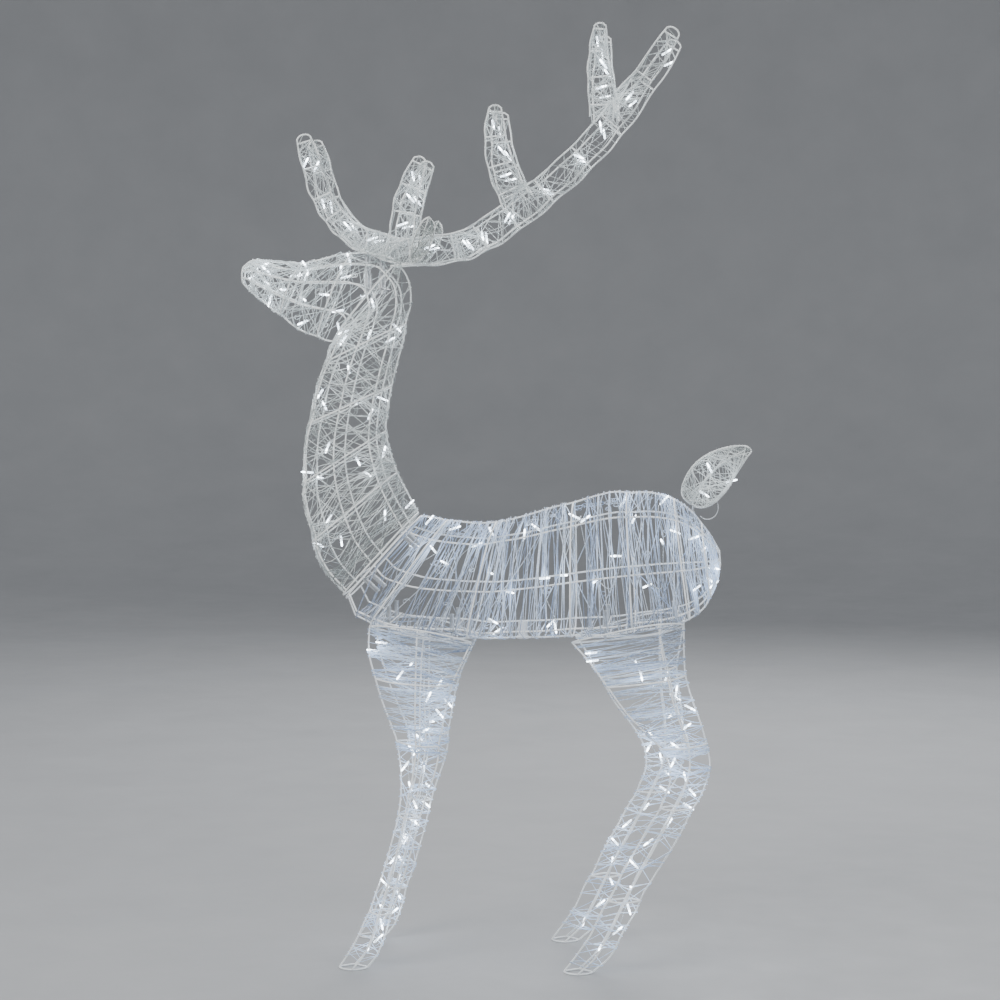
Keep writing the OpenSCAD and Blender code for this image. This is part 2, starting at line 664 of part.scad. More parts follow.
body_cage();
body_winding();
body_lamps();
body_lead();
neck_and_head_cage();
neck_winding();
head_winding();
neck_and_head_lamps();
neck_and_head_lead();
ear_frame(-1);  // left_ear_frame
ear_frame(1);  // right_ear_frame
ear_winding(-1);  // left_ear_winding
ear_winding(1);  // right_ear_winding
antler_cage(-1);  // left_antler_cage
antler_winding(-1);  // left_antler_winding
antler_lamps(-1);  // left_antler_lamps
antler_lead(-1);  // left_antler_lead
antler_cage(1);  // right_antler_cage
antler_winding(1);  // right_antler_winding
antler_lamps(1);  // right_antler_lamps
antler_lead(1);  // right_antler_lead
leg_cage(FRONT_LEFT, RIBS_FRONT);  // front_left_leg_cage
leg_winding(FRONT_LEFT);  // front_left_leg_winding
leg_lamps(FRONT_LEFT);  // front_left_leg_lamps
leg_lead(FRONT_LEFT);  // front_left_leg_lead
leg_cage(FRONT_RIGHT, RIBS_FRONT);  // front_right_leg_cage
leg_winding(FRONT_RIGHT);  // front_right_leg_winding
leg_lamps(FRONT_RIGHT);  // front_right_leg_lamps
leg_lead(FRONT_RIGHT);  // front_right_leg_lead
leg_cage(HIND_LEFT, RIBS_HIND);  // hind_left_leg_cage
leg_winding(HIND_LEFT);  // hind_left_leg_winding
leg_lamps(HIND_LEFT);  // hind_left_leg_lamps
leg_lead(HIND_LEFT);  // hind_left_leg_lead
leg_cage(HIND_RIGHT, RIBS_HIND);  // hind_right_leg_cage
leg_winding(HIND_RIGHT);  // hind_right_leg_winding
leg_lamps(HIND_RIGHT);  // hind_right_leg_lamps
leg_lead(HIND_RIGHT);  // hind_right_leg_lead
tail_frame();
tail_winding();
tail_lamps();
tail_loop_lead();
leg_sockets();
leg_pins(FRONT_LEFT);  // front_left_leg_pins
leg_pins(FRONT_RIGHT);  // front_right_leg_pins
leg_pins(HIND_LEFT);  // hind_left_leg_pins
leg_pins(HIND_RIGHT);  // hind_right_leg_pins
neck_sockets();
neck_pins();
antler_sockets();
antler_pins(-1);  // left_antler_pins
antler_pins(1);  // right_antler_pins
tail_socket();
tail_pin();
supply_inlet();
supply_inlet_contacts();
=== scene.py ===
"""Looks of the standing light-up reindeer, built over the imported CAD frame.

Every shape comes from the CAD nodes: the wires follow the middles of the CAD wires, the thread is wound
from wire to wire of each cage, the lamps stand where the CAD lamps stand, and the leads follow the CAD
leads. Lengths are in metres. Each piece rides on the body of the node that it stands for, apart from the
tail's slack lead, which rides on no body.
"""
import json
import math

import bpy
import numpy as np
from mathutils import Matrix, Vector, kdtree
from mathutils.bvhtree import BVHTree

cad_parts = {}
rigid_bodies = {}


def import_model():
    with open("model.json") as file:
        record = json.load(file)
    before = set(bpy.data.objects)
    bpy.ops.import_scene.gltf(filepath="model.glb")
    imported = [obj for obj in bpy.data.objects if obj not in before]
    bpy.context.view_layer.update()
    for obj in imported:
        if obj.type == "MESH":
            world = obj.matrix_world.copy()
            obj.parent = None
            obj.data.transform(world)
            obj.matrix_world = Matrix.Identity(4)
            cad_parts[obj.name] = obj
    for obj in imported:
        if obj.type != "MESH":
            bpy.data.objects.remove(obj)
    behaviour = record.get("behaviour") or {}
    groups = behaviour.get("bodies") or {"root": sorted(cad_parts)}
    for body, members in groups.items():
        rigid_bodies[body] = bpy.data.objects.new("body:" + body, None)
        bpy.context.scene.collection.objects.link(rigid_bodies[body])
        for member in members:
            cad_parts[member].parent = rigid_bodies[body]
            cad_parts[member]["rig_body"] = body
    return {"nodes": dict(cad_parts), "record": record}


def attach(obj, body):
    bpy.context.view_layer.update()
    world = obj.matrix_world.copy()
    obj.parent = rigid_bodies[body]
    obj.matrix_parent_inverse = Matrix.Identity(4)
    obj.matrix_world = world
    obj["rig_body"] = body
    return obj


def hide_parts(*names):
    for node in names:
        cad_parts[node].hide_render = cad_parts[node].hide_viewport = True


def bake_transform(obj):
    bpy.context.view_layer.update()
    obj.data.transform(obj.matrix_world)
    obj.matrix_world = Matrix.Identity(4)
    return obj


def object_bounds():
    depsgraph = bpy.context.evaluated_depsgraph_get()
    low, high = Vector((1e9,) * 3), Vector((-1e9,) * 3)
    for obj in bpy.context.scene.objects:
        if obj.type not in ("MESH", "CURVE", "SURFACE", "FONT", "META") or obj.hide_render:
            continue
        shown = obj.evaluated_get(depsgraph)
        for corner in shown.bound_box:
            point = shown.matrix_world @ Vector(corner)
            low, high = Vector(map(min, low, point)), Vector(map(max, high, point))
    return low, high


MM = 0.001
WIRE_R, WIRE_SIDES = 1.6 * MM, 10
THREAD_R, THREAD_SIDES = 0.66 * MM, 4
FUZZ = 0.9 * MM  # how far thread stands off the wires, typically
LEAD_R, LEAD_SIDES = 0.5 * MM, 6  # each wire of the twisted pair
LEAD_TWIST = 14 * MM  # length of one turn of the pair
SLACK_LEAD_R, SLACK_LEAD_SIDES = 0.8 * MM, 10
LAMP_SIDES = 14
LAMP_SLIMMER = 0.82  # radius of a lamp against its profile's
LAMP_HEAD = 4 * MM  # where a lamp's light comes from, ahead of its middle
GLOW = ((1.5, 9 * MM), (0.3, 32 * MM))  # (strength, reach) of the light close to a lamp and further off
THREAD_ENDS = (0.006, 0.992)  # shares of a cage's length between which it is wound
CAGE_WIRES, LEG_WIRES = 8, 4  # lengthwise wires of the trunk and of the neck and head, and of a leg
TURN_BACK = -0.25  # cosine that says how sharply a wire may bend at a crossing: minus one is dead straight
TRUNK_TURN_BACK = -0.75

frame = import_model()
cad_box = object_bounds()
rng = np.random.default_rng(20)

# ---- camera: 4.8 m away and 5 degrees off square ----

camera = bpy.data.objects.new("camera", bpy.data.cameras.new("camera"))
bpy.context.scene.collection.objects.link(camera)
camera.data.lens = 90
camera.data.sensor_width = 36
camera.data.clip_end = 200
camera.location = (0.427, -4.782, 1.18)
camera.rotation_euler = (math.radians(86.5), 0, math.radians(5))
bpy.context.scene.camera = camera

# ---- vectors, curves and meshes ----


def unit(v):
    """Vectors at length one."""
    v = np.asarray(v, float)
    return v / np.maximum(np.linalg.norm(v, axis=-1, keepdims=True), 1e-12)


def lengths(path):
    """Distance along a path at each of its points."""
    return np.concatenate([[0], np.cumsum(np.linalg.norm(np.diff(path, axis=0), axis=1))])


def at_length(path, s):
    """Points of a path at distances s along it."""
    have = lengths(path)
    return np.stack([np.interp(s, have, path[:, i]) for i in range(3)], axis=-1)


def smoothed(path, spacing, closed=False):
    """A smooth curve through the points of a path, sampled about every spacing metres."""
    p = np.asarray(path, float)
    if closed:
        p = np.concatenate([p[-2:], p, p[:3]])
    if len(p) < 3:
        n = max(1, round(np.linalg.norm(p[-1] - p[0]) / spacing))
        return np.array([p[0] + (p[-1] - p[0]) * i / n for i in range(n + 1)])
    s = lengths(p)
    step = np.diff(s)[:, None]
    slope = np.diff(p, axis=0) / step
    tangent = np.empty_like(p)
    tangent[1:-1] = (slope[:-1] * step[1:] + slope[1:] * step[:-1]) / (step[1:] + step[:-1])
    tangent[0], tangent[-1] = slope[0], slope[-1]
    out = []
    first, last = (2, len(p) - 3) if closed else (0, len(p) - 1)
    for i in range(first, last):
        h = s[i + 1] - s[i]
        n = max(1, round(h / spacing))
        for t in np.arange(n) / n:
            out.append(
                (2 * t**3 - 3 * t**2 + 1) * p[i]
                + (t**3 - 2 * t**2 + t) * h * tangent[i]
                + (3 * t**2 - 2 * t**3) * p[i + 1]
                + (t**3 - t**2) * h * tangent[i + 1]
            )
    if not closed:
        out.append(p[-1])
    return np.array(out)


def carried(d, start):
    """A side vector at each heading d, starting square to start and turned as little as may be."""
    u = np.empty_like(d)
    u[0] = unit(np.cross(d[0], start))
    for i in range(1, len(d)):
        u[i] = unit(u[i - 1] - d[i] * np.dot(u[i - 1], d[i]))
    return u


class Mesh:
    """Vertices and faces of one piece, gathered a tube or a lathe at a time."""

    def __init__(self):
        self.verts, self.faces, self.kinds, self.tones, self.count = [], [], [], [], 0

    def add(self, verts, faces, tone=0.5):
        self.verts.append(np.asarray(verts, float))
        self.tones.append(np.full(len(verts), tone))
        for f in faces:
            f = np.asarray(f, int) + self.count
            self.faces.extend(f.tolist())
            self.kinds.extend([0] * len(f))
        self.count += len(verts)

    def tube(self, path, radius, sides, ref=None, closed=False, round_ends=False, tone=0.5):
        """Adds a tube along a path. Its section is square to ref at each point, where that is given."""
        p = np.asarray(path, float)
        r = np.full(len(p), float(radius))
        if round_ends:  # two narrower rings beyond each end
            d0, d1 = unit(p[0] - p[1]), unit(p[-1] - p[-2])
            near, far = 0.3 * radius, 0.6 * radius
            before, after = [p[0] + d0 * far, p[0] + d0 * near], [p[-1] + d1 * near, p[-1] + d1 * far]
            p = np.concatenate([before, p, after])
            r = np.concatenate([[0.45 * radius, 0.85 * radius], r, [0.85 * radius, 0.45 * radius]])
        n = len(p)
        if closed:
            d = unit(np.roll(p, -1, 0) - np.roll(p, 1, 0))
        else:
            d = unit(np.gradient(p, axis=0))
        if ref is None:
            u = carried(d, [0.31, 0.83, 0.47])
            if closed:  # the turn left over where the ends meet is spread along the ring
                last = unit(u[-1] - d[0] * np.dot(u[-1], d[0]))
                off = math.atan2(np.dot(np.cross(last, u[0]), d[0]), np.dot(last, u[0]))
                turn = off * np.arange(n)[:, None] / n
                u = u * np.cos(turn) + np.cross(d, u) * np.sin(turn)
        else:
            u = unit(np.cross(d, ref))
        v = np.cross(d, u)
        a = 2 * math.pi * np.arange(sides) / sides
        ring = (p[:, None] + r[:, None, None] * (np.cos(a)[None, :, None] * u[:, None]
                                                  + np.sin(a)[None, :, None] * v[:, None]))
        turns = n if closed else n - 1
        i = np.arange(turns)[:, None] * sides
        j = ((np.arange(turns)[:, None] + 1) % n) * sides
        k, l = np.arange(sides)[None, :], (np.arange(sides)[None, :] + 1) % sides
        walls = np.stack([i + k, i + l, j + l, j + k], axis=-1).reshape(-1, 4)
        faces = [walls]
        if not closed:
            faces.append([list(range(sides - 1, -1, -1))])
            faces.append([list(range((n - 1) * sides, n * sides))])
        self.add(ring.reshape(-1, 3), faces, tone)

    def lathe(self, profile, place, axis, sides, kinds):
        """Turns [along, radius] points about an axis; kinds gives the material of each band."""
        w = unit(axis)
        u = unit(np.cross(w, [0.3, 0.2, 0.93] if abs(w[2]) < 0.9 else [1, 0, 0]))
        v = np.cross(w, u)
        a = 2 * math.pi * np.arange(sides) / sides
        around = np.cos(a)[:, None] * u + np.sin(a)[:, None] * v
        verts = np.concatenate([place + w * s + around * r for s, r in profile])
        base = self.count
        self.add(verts, [])
        k, l = np.arange(sides), (np.arange(sides) + 1) % sides
        for i, kind in enumerate(kinds):
            low, high = base + i * sides, base + (i + 1) * sides
            self.faces.extend(np.stack([low + k, low + l, high + l, high + k], axis=-1).tolist())
            self.kinds.extend([kind] * sides)
        top = (len(profile) - 1) * sides
        self.faces.append([base + x for x in range(sides - 1, -1, -1)])
        self.faces.append([base + top + x for x in range(sides)])
        self.kinds.extend([kinds[0], kinds[-1]])

    def piece(self, name, body, materials, slot, replaced, lamps=None):
        """Makes the piece. It rides on body, if there is one, and shows the light of the lamps given."""
        mesh = bpy.data.meshes.new(name)
        verts = np.concatenate(self.verts)
        mesh.from_pydata(verts.tolist(), [], self.faces)
        for m in materials:
            mesh.materials.append(m)
        mesh.polygons.foreach_set("material_index", np.array(self.kinds, np.int32))
        mesh.polygons.foreach_set("use_smooth", np.ones(len(self.faces), bool))
        if lamps is not None:
            glow = mesh.attributes.new("glow", "FLOAT", "POINT")
            glow.data.foreach_set("value", glow_at(verts, lamps).astype(np.float32))
            tone = mesh.attributes.new("tone", "FLOAT", "POINT")
            tone.data.foreach_set("value", np.concatenate(self.tones).astype(np.float32))
        mesh.update()
        o = bpy.data.objects.new(name, mesh)
        bpy.context.scene.collection.objects.link(o)
        if body:
            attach(o, body)
        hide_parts(replaced)
        return o


def glow_at(points, lamps):
    """Light that reaches each point from the lamps near it, from 0 to about 1."""
    total = np.zeros(len(points))
    for centre, axis in lamps:
        d2 = ((points - centre - axis * LAMP_HEAD) ** 2).sum(1)
        for strength, reach in GLOW:
            total += strength * np.exp(-d2 / (2 * reach**2))
    return 1 - np.exp(-total)


# ---- reading the CAD nodes ----


def groups(points, reach, links=()):
    """Joins points that are closer than reach, or linked; returns each point's group number."""
    parent = list(range(len(points)))

    def find(i):
        while parent[i] != i:
            parent[i] = parent[parent[i]]
            i = parent[i]
        return i

    def join(i, j):
        a, b = find(i), find(j)
        if a != b:
            parent[max(a, b)] = min(a, b)

    tree = kdtree.KDTree(len(points))
    for i, p in enumerate(points):
        tree.insert(p, i)
    tree.balance()
    for i, p in enumerate(points):
        for _, j, _ in tree.find_range(p, reach):
            join(i, j)
    for i, j in links:
        join(i, j)
    roots = np.array([find(i) for i in range(len(points))])
    return np.unique(roots, return_inverse=True)[1]


def mesh_of(node):
    """The vertices and edges of a node."""
    me = frame["nodes"][node].data
    co = np.empty(len(me.vertices) * 3)
    me.vertices.foreach_get("co", co)
    ed = np.empty(len(me.edges) * 2, int)
    me.edges.foreach_get("vertices", ed)
    return co.reshape(-1, 3), ed.reshape(-1, 2)


def surface_of(node):
    """The surface of a node, for finding how far a point is from it."""
    co, _ = mesh_of(node)
    faces = [tuple(p.vertices) for p in frame["nodes"][node].data.polygons]
    return BVHTree.FromPolygons([tuple(c) for c in co], faces)


def body_of(node):
    return frame["nodes"][node]["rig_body"]


def islands(node):
    """The vertices of each separate solid of a node."""
    co, ed = mesh_of(node)
    g = groups(co, 0.02 * MM, ed)
    return [co[g == i] for i in range(g.max() + 1)]


def centres(values, g):
    """The mean of the values of each group."""
    out = np.zeros((g.max() + 1, 3))
    np.add.at(out, g, values)
    return out / np.bincount(g)[:, None]


def wires_of(node, reach=3.9 * MM, join=6 * MM, near=3.2 * MM, turn_back=TURN_BACK):
    """The middle lines of the wires of a node, as (points, closed). The corners round each point of a wire
    stand together, so each group of vertices within reach marks a place on a middle line, and places
    closer than join are one. A link of a wire passes through the places nearer than near to it."""
    co, ed = mesh_of(node)
    g = groups(co, reach)
    mid = centres(co, g)
    again = groups(mid, join)
    mid = centres(mid, again)
    g = again[g]
    pairs = {tuple(sorted((g[a], g[b]))) for a, b in ed if g[a] != g[b]}
    # A link that passes another point of the same wire is split there.
    links = set()
    for a, b in pairs:
        span = mid[b] - mid[a]
        length = np.linalg.norm(span)
        t = ((mid - mid[a]) @ span) / length
        off = np.linalg.norm(mid - mid[a] - t[:, None] * span / length, axis=1)
        margin = join * 0.6
        inner = np.where((off < near) & (t > margin) & (t < length - margin))[0]
        chain = [a] + sorted(inner, key=lambda i: t[i]) + [b]
        links |= {tuple(sorted(x)) for x in zip(chain[:-1], chain[1:])}
    at = {}
    for link in links:
        for x in link:
            at.setdefault(x, []).append(link)
    found = [(mid[ring], True) for ring in rings_among(mid, at, links)]
    # At a crossing, the two links that lie most nearly in line belong to one wire.
    partner = {}
    for x, around in at.items():
        around = sorted(l for l in around if l in links)
        away = {l: unit(mid[other(l, x)] - mid[x]) for l in around}
        ranked = sorted((float(np.dot(away[p], away[q])), p, q)
                        for i, p in enumerate(around) for q in around[i + 1:])
        used = set()
        for value, p, q in ranked:
            if value < turn_back and p not in used and q not in used:
                used |= {p, q}
                partner[(x, p)] = q
                partner[(x, q)] = p
    left = set(links)
    while left:
        link = min(left)
        chain = list(link)
        left.discard(link)
        for end in (1, 0):
            now, x = link, link[end]
            while (x, now) in partner:
                now = partner[(x, now)]
                if now not in left:
                    break
                left.discard(now)
                x = other(now, x)
                chain = chain + [x] if end else [x] + chain
        closed = len(chain) > 3 and chain[0] == chain[-1]
        found.append((mid[chain[:-1] if closed else chain], closed))
    return found


def other(link, x):
    return link[0] if link[1] == x else link[1]


RING_CORNER = (-0.97, 0.7)  # cosines between which two links may meet for a ring to be looked for there
RING_FLAT = 4 * MM  # how far a ring may be out of its plane
RING_TURN = -0.3  # least cosine from one link of a ring to the next
RING_LINKS = (6, 14)  # fewest and most places on a ring
RING_CROSSED = 0.55  # how square to the ring the other wires are, as the mean of their cosines


def rings_among(mid, at, links):
    """Finds the flat closed rings that the lengthwise wires of a cage cross, and takes their links away."""
    rings = []
    for x in sorted(at):
        for i, p in enumerate(sorted(at[x])):
            for q in sorted(at[x])[i + 1:]:
                a, b = other(p, x), other(q, x)
                da, db = unit(mid[a] - mid[x]), unit(mid[b] - mid[x])
                if p not in links or q not in links:
                    continue
                if not RING_CORNER[0] < np.dot(da, db) < RING_CORNER[1]:
                    continue
                normal = unit(np.cross(da, db))
                chain, used = [x, a], {p, q}
                while chain[-1] != b and len(chain) < RING_LINKS[1]:
                    y = chain[-1]
                    ahead = unit(mid[y] - mid[chain[-2]])
                    near = []
                    for l in at[y]:
                        z = other(l, y)
                        off = abs(np.dot(mid[z] - mid[x], normal))
                        if l in links and l not in used and z not in chain and off < RING_FLAT:
                            if np.dot(ahead, unit(mid[z] - mid[y])) > RING_TURN:
                                near.append((off, l, z))
                    if not near:
                        break
                    _, l, z = min(near)
                    chain.append(z)
                    used.add(l)
                if chain[-1] != b or len(chain) < RING_LINKS[0]:
                    continue
                aside = [abs(np.dot(normal, unit(mid[other(l, y)] - mid[y])))
                         for y in chain for l in at[y] if l not in used]
                if len(aside) > 1 and np.mean(aside) > RING_CROSSED:
                    rings.append(chain)
                    links -= used
    return rings


def length_of(path):
    return lengths(path)[-1]


def joined(paths, least=150 * MM):
    """Wires longer than least that end on one another run on as one."""
    paths = [p for p in paths if length_of(p) > least]
    for i, a in enumerate(paths):
        for j in range(i + 1, len(paths)):
            b = paths[j]
            for x, y in ((a, b), (a[::-1], b), (a, b[::-1]), (a[::-1], b[::-1])):
                if np.linalg.norm(x[-1] - y[0]) < 1 * MM:
                    rest = [p for k, p in enumerate(paths) if k not in (i, j)]
                    return joined(rest + [np.concatenate([x, y[1:]])], least)
    return paths


def cage_grid(wires, count, start, samples=500, touch=6 * MM, least_step=0.01):
    """Reads the lengthwise wires of a cage at common places: an array [wire, place, xyz], in order round
    the cage. start is a function of a point that is less at the end that comes first. The ribs that come
    within touch of every wire say which places belong together, where they are least_step or more of the
    cage apart."""
    open_ones = joined([w for w, closed in wires if not closed])
    open_ones = sorted(open_ones, key=length_of, reverse=True)[:count]
    rings = [smoothed(w, 3 * MM, True) for w, closed in wires if closed]
    long_ones = []
    for w in open_ones:
        w = smoothed(w, 4 * MM)
        long_ones.append(w if start(w[0]) <= start(w[-1]) else w[::-1])

    marks = []
    for ring in rings:
        row = []
        for w in long_ones:
            d = np.linalg.norm(w[:, None] - ring[None], axis=2).min(1)
            row.append(lengths(w)[d.argmin()] if d.min() < touch else None)
        if None not in row:
            marks.append(row)
    ends = [length_of(w) for w in long_ones]
    marks = sorted([[0.0] * count] + marks + [ends], key=lambda row: np.mean(row))
    marks = np.array(marks)
    share = (marks / np.array(ends)).mean(1)
    keep = [0]
    for i in range(1, len(share)):
        if share[i] - share[keep[-1]] > least_step and (marks[i] > marks[keep[-1]] - 1e-6).all():
            keep.append(i)
    marks, share = marks[keep], share[keep]
    share = share / share[-1]
    places = np.linspace(0, 1, samples)
    grid = np.stack([at_length(w, np.interp(places, share, marks[:, i])) for i, w in enumerate(long_ones)])

    # The wires are put in order round the cage, as they stand a third of the way along it.
    third = samples // 3
    along = unit(grid[:, third + 1].mean(0) - grid[:, third - 1].mean(0))
    e1 = unit(np.cross(along, [0, 1, 0.01]))
    e2 = np.cross(along, e1)
    rel = grid[:, third] - grid[:, third].mean(0)
    return grid[np.argsort(np.arctan2(rel @ e2, rel @ e1))]


def squared_up(grid, start, full, end, stop, window=70, evened=13):
    """Turns the common places of a grid square to the cage, wholly from full to end, and less towards start
    and stop, which are shares of the cage. window is how many samples either way a place is looked for, and
    evened is the odd count of samples that its moves are averaged over."""
    count, samples = grid.shape[:2]
    centre = grid.mean(0)
    heading = unit(np.gradient(centre, axis=0))
    share = np.linspace(0, 1, samples)
    weight = np.interp(share, [0, start, full, end, stop, 1], [0, 0, 1, 1, 0, 0])
    out = np.empty_like(grid)
    for k in range(count):
        place = np.arange(samples, dtype=float)
        for i in range(samples):
            low, high = max(0, i - window), min(samples, i + window + 1)
            off = np.abs((grid[k, low:high] - centre[i]) @ heading[i])
            place[i] += weight[i] * (low + off.argmin() - i)
        padded = np.pad(place, evened // 2, "edge")
        place = np.maximum.accumulate(np.convolve(padded, np.ones(evened) / evened, "valid"))
        for axis in range(3):
            out[k, :, axis] = np.interp(place, np.arange(samples), grid[k, :, axis])
    return out


# ---- a cage to wind thread on ----


class Cage:
    """Lengthwise wires at common places, with the way out of the cage and the way along it at each."""

    def __init__(self, grid):
        self.grid = grid
        self.count, self.samples = grid.shape[:2]
        self.centre = grid.mean(0)
        self.heading = unit(np.gradient(self.centre, axis=0))
        self.length = length_of(self.centre)
        out = grid - self.centre[None]
        out -= (out * self.heading[None]).sum(2, keepdims=True) * self.heading[None]
        self.out = unit(out)

    def pick(self, values, u):
        """Values at shares u of the cage."""
        x = np.clip(u, 0, 1) * (self.samples - 1)
        i = np.minimum(x.astype(int), self.samples - 2)
        t = (x - i)[:, None]
        return values[i] * (1 - t) + values[i + 1] * t

    def strand(self, first, step, u, lift, bow):
        """A thread that passes over one wire after another, at shares u of the cage, bowed between them."""
        n = len(u)
        ks = (first + step * np.arange(n)) % self.count
        over = np.empty((n, 3))
        for k in range(self.count):
            rows = np.where(ks == k)[0]
            if len(rows):
                out = self.pick(self.out[k], u[rows])
                over[rows] = self.pick(self.grid[k], u[rows]) + out * lift[rows, None]
        heads = self.pick(self.heading, u)
        path, refs = [over[:1]], [heads[:1]]
        t = np.array([[0.25], [0.5], [0.75], [1.0]])
        for i in range(n - 1):
            side = unit(heads[i] * (1 - t) + heads[i + 1] * t)
            path.append(over[i] * (1 - t) + over[i + 1] * t + side * bow[i] * 4 * t * (1 - t))
            refs.append(side)
        return np.concatenate(path), np.concatenate(refs)


# ---- materials ----


class Finish:
    """A material whose colour, roughness and bump come from noise in the object's own space."""

    NOISE_SPAN = (0.3, 0.7)  # the values between which nearly all of a noise lies

    def __init__(self, name, **values):
        self.material = bpy.data.materials.new(name)
        self.material.use_nodes = True
        self.tree = self.material.node_tree
        self.bsdf = self.tree.nodes["Principled BSDF"]
        self.set(self.bsdf, values)

    def set(self, node, values):
        for key, value in values.items():
            node.inputs[key.replace("_", " ")].default_value = value

    def node(self, kind, **inputs):
        n = self.tree.nodes.new(kind)
        self.set(n, inputs)
        return n

    def link(self, output, socket):
        self.tree.links.new(output, self.bsdf.inputs[socket])

    def grain(self, scale, detail=3.0, roughness=0.55, stretch=None):
        """Noise, stretched along an axis if asked."""
        place = self.node("ShaderNodeTexCoord").outputs["Object"]
        noise = self.node("ShaderNodeTexNoise", Scale=scale, Detail=detail, Roughness=roughness)
        if stretch:
            turn = self.node("ShaderNodeMapping", Scale=stretch)
            self.tree.links.new(place, turn.inputs["Vector"])
            place = turn.outputs["Vector"]
        self.tree.links.new(place, noise.inputs["Vector"])
        return noise.outputs["Fac"]

    def scaled(self, fac, low, high):
        n = self.node("ShaderNodeMapRange", From_Min=self.NOISE_SPAN[0], From_Max=self.NOISE_SPAN[1],
                      To_Min=low, To_Max=high)
        self.tree.links.new(fac, n.inputs["Value"])
        return n.outputs["Result"]

    def attribute(self, name):
        n = self.node("ShaderNodeAttribute")
        n.attribute_name = name
        return n.outputs["Fac"]

    def multiplied(self, fac, by, plus):
        """fac times by, plus a number or another output."""
        n = self.node("ShaderNodeMath")
        n.operation = "MULTIPLY_ADD"
        self.tree.links.new(fac, n.inputs[0])
        n.inputs[1].default_value = by
        if isinstance(plus, float):
            n.inputs[2].default_value = plus
        else:
            self.tree.links.new(plus, n.inputs[2])
        return n.outputs[0]

    def colour(self, fac, *stops, socket="Base Color"):
        """Colours fac by stops of (position, red, green, blue)."""
        r = self.node("ShaderNodeValToRGB")
        first, *between, last = stops
        for element, stop in zip(r.color_ramp.elements, (first, last)):
            element.position = stop[0]
            element.color = (*stop[1:], 1)
        for stop in between:
            r.color_ramp.elements.new(stop[0]).color = (*stop[1:], 1)
        self.tree.links.new(fac, r.inputs["Fac"])
        self.link(r.outputs["Color"], socket)

    def roughness(self, fac, low, high):
        self.link(self.scaled(fac, low, high), "Roughness")

    def bump(self, fac, distance, strength):
        n = self.node("ShaderNodeBump", Strength=strength, Distance=distance)
        self.tree.links.new(fac, n.inputs["Height"])
        self.link(n.outputs["Normal"], "Normal")

    def lit(self, colour, strength, base):
        """Painted lamp light: emission that stands in for the light the lamps throw on a piece near them,
        over a painted glow of strength base that it has all over.
        """
        self.link(self.multiplied(self.attribute("glow"), strength, base), "Emission Strength")
        self.bsdf.inputs["Emission Color"].default_value = (*colour, 1)


def coated_wire(name, tint, glow, base):
    f = Finish(name, Specular_IOR_Level=0.5, Coat_Weight=0.25, Coat_Roughness=0.2)
    f.colour(f.grain(70, 5), (0.3, *(c * 0.86 for c in tint)), (0.6, *tint))
    f.roughness(f.grain(240, 4), 0.28, 0.5)
    f.bump(f.grain(1400, 3), 0.1 * MM, 0.35)
    f.lit((0.8, 0.9, 1.0), glow, base)
    return f.material


def thread(name, pale, deep, glow_colour, glow, base):
    """Clear thread: some strands are bright and some dull, and each is mottled along its length."""
    f = Finish(name, Specular_IOR_Level=0.6, IOR=1.49)
    mottle = f.scaled(f.grain(190, 6, 0.7), 0.0, 0.38)
    f.colour(f.multiplied(f.attribute("tone"), 0.62, mottle), (0.1, *deep), (0.85, *pale))
    f.roughness(f.grain(420, 4), 0.12, 0.4)
    f.bump(f.grain(2600, 2), 0.12 * MM, 0.4)
    f.lit(glow_colour, glow, base)
    return f.material


